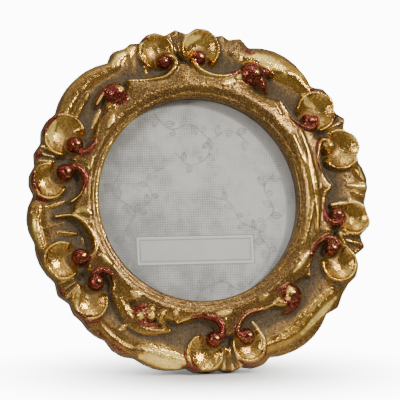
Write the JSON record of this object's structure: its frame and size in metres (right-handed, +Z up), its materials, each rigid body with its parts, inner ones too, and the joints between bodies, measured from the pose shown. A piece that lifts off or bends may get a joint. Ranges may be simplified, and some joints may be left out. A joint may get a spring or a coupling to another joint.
{
  "type": "round photo frame",
  "caption": "Small round tabletop picture frame with a carved rococo surround, glass, print, back board with turn buttons, hinged easel strut and a hanging ring.",
  "frame": {"origin": "middle of the flat foot under the lowest lobe of the surround, on the surface that the frame stands on", "axes": "+Z up, -Y out of the front that is looked at, +X to the right seen from the front, +Y to the strut behind"},
  "size_m": [0.1715, 0.0772, 0.1676],
  "materials": {
    "cast_resin": "cast resin, antiqued gold leaf over dark umber with traces of red bole",
    "glass": "clear float glass",
    "print_paper": "matt print, pale linen design with a bare label",
    "card": "grey-brown card",
    "flocked_board": "hardboard with short black flock",
    "hardware_steel": "nickel plated steel sheet",
    "screw_brass": "brassed steel screw"
  },
  "bodies": {
    "frame": {"frame_casting": "cast_resin", "glass": "glass", "photo_print": "print_paper", "filler_card": "card", "back_board": "flocked_board", "hinge_plate": "hardware_steel", "hinge_pin": "hardware_steel", "turn_button_screws": "screw_brass", "hanger_strap": "hardware_steel", "hanger_screw": "screw_brass"},
    "strut": {"easel_strut": "flocked_board", "strut_leaf": "hardware_steel"},
    "hanger_ring": {"hanger_ring": "hardware_steel"},
    "turn_button_1": {"turn_button_1": "hardware_steel"},
    "turn_button_2": {"turn_button_2": "hardware_steel"},
    "turn_button_3": {"turn_button_3": "hardware_steel"},
    "turn_button_4": {"turn_button_4": "hardware_steel"}
  },
  "joints": [
    {"name": "strut_hinge", "type": "hinge", "parent": "frame", "child": "strut", "pos_m": [0, 0.0287, 0.10253], "axis": [1, 0, 0], "range_deg": [-33, 0]},
    {"name": "hanger_ring_swing", "type": "hinge", "parent": "frame", "child": "hanger_ring", "pos_m": [0, 0.03852, 0.14747], "axis": [1, 0, 0], "range_deg": [-3, 150]},
    {"name": "turn_button_1_turn", "type": "hinge", "parent": "frame", "child": "turn_button_1", "pos_m": [0.04349, 0.03119, 0.124], "axis": [0, -0.9744, 0.225], "continuous": true},
    {"name": "turn_button_2_turn", "type": "hinge", "parent": "frame", "child": "turn_button_2", "pos_m": [0.04349, 0.01163, 0.03926], "axis": [0, -0.9744, 0.225], "continuous": true},
    {"name": "turn_button_3_turn", "type": "hinge", "parent": "frame", "child": "turn_button_3", "pos_m": [-0.04349, 0.01163, 0.03926], "axis": [0, -0.9744, 0.225], "continuous": true},
    {"name": "turn_button_4_turn", "type": "hinge", "parent": "frame", "child": "turn_button_4", "pos_m": [-0.04349, 0.03119, 0.124], "axis": [0, -0.9744, 0.225], "continuous": true}
  ]
}
